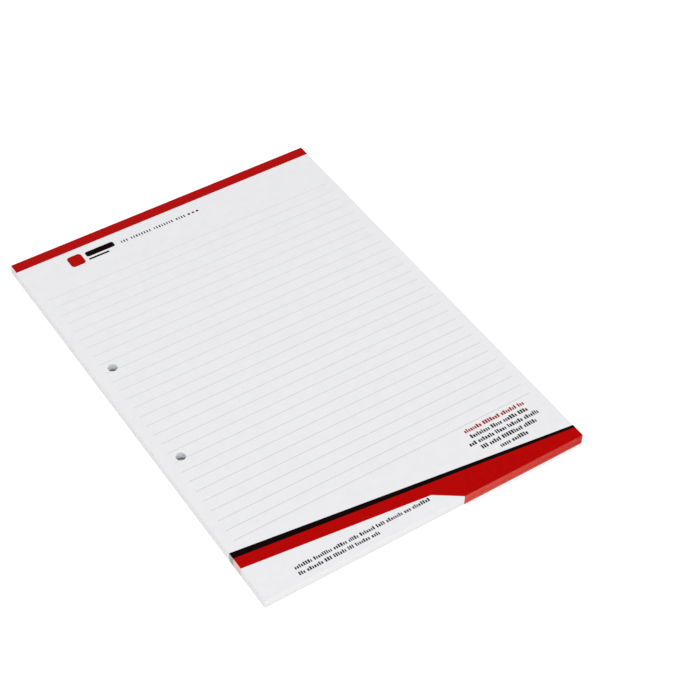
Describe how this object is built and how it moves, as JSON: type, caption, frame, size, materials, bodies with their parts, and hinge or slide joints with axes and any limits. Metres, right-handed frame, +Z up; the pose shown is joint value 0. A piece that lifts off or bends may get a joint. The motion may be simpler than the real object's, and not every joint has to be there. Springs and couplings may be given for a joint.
{
  "type": "writing pad",
  "caption": "Gummed portrait writing pad: ruled sheets on a thin backing board, glued along the head edge and drilled with filing holes in the left margin.",
  "frame": {"origin": "on the underside of the backing board, at the middle of the pad's whole outline", "axes": "+Z up out of the top sheet, +Y towards the gummed head, +X to the reader's right, so the filing holes are at -X"},
  "size_m": [0.21, 0.2974, 0.0071],
  "materials": {
    "sheet_paper": "matte",
    "greyboard": "matte",
    "padding_gum": "satin",
    "red_ink": "matte",
    "black_ink": "matte",
    "grey_ink": "matte"
  },
  "bodies": {
    "root": {"sheet_block": "sheet_paper", "backing_board": "greyboard", "gum_strip": "padding_gum"}
  },
  "joints": []
}
